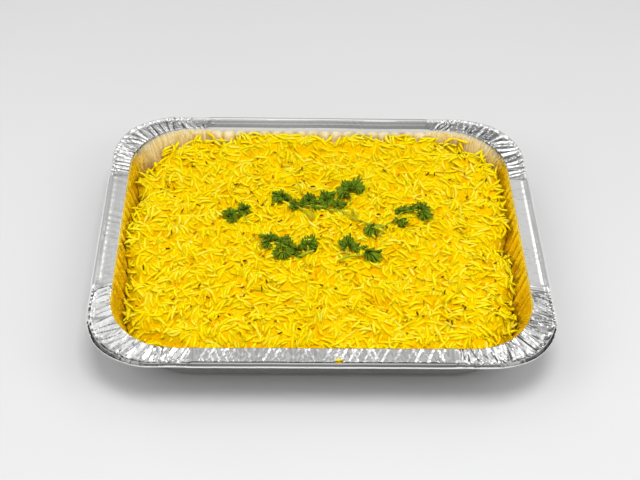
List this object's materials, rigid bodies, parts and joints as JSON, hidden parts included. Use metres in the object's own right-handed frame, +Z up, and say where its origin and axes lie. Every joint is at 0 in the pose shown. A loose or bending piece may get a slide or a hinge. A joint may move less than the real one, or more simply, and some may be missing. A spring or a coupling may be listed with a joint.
{
  "type": "tray of yellow rice",
  "caption": "Shallow rectangular foil tray with fluted walls and a crimped rim, filled with long-grain yellow rice and garnished with curly parsley sprigs.",
  "frame": {"origin": "middle of the tray's flat underside, on the surface it stands on", "axes": "+X along the tray's long side, +Y along its short side towards the back, +Z up"},
  "size_m": [0.324, 0.2636, 0.043],
  "materials": {
    "foil": "satin",
    "rice": "satin",
    "parsley": "satin"
  },
  "bodies": {
    "root": {"foil_tray": "foil", "rice_heap": "rice", "parsley_sprig_main": "parsley", "parsley_sprig_front": "parsley", "parsley_sprig_left": "parsley", "parsley_sprig_right": "parsley"}
  },
  "joints": []
}
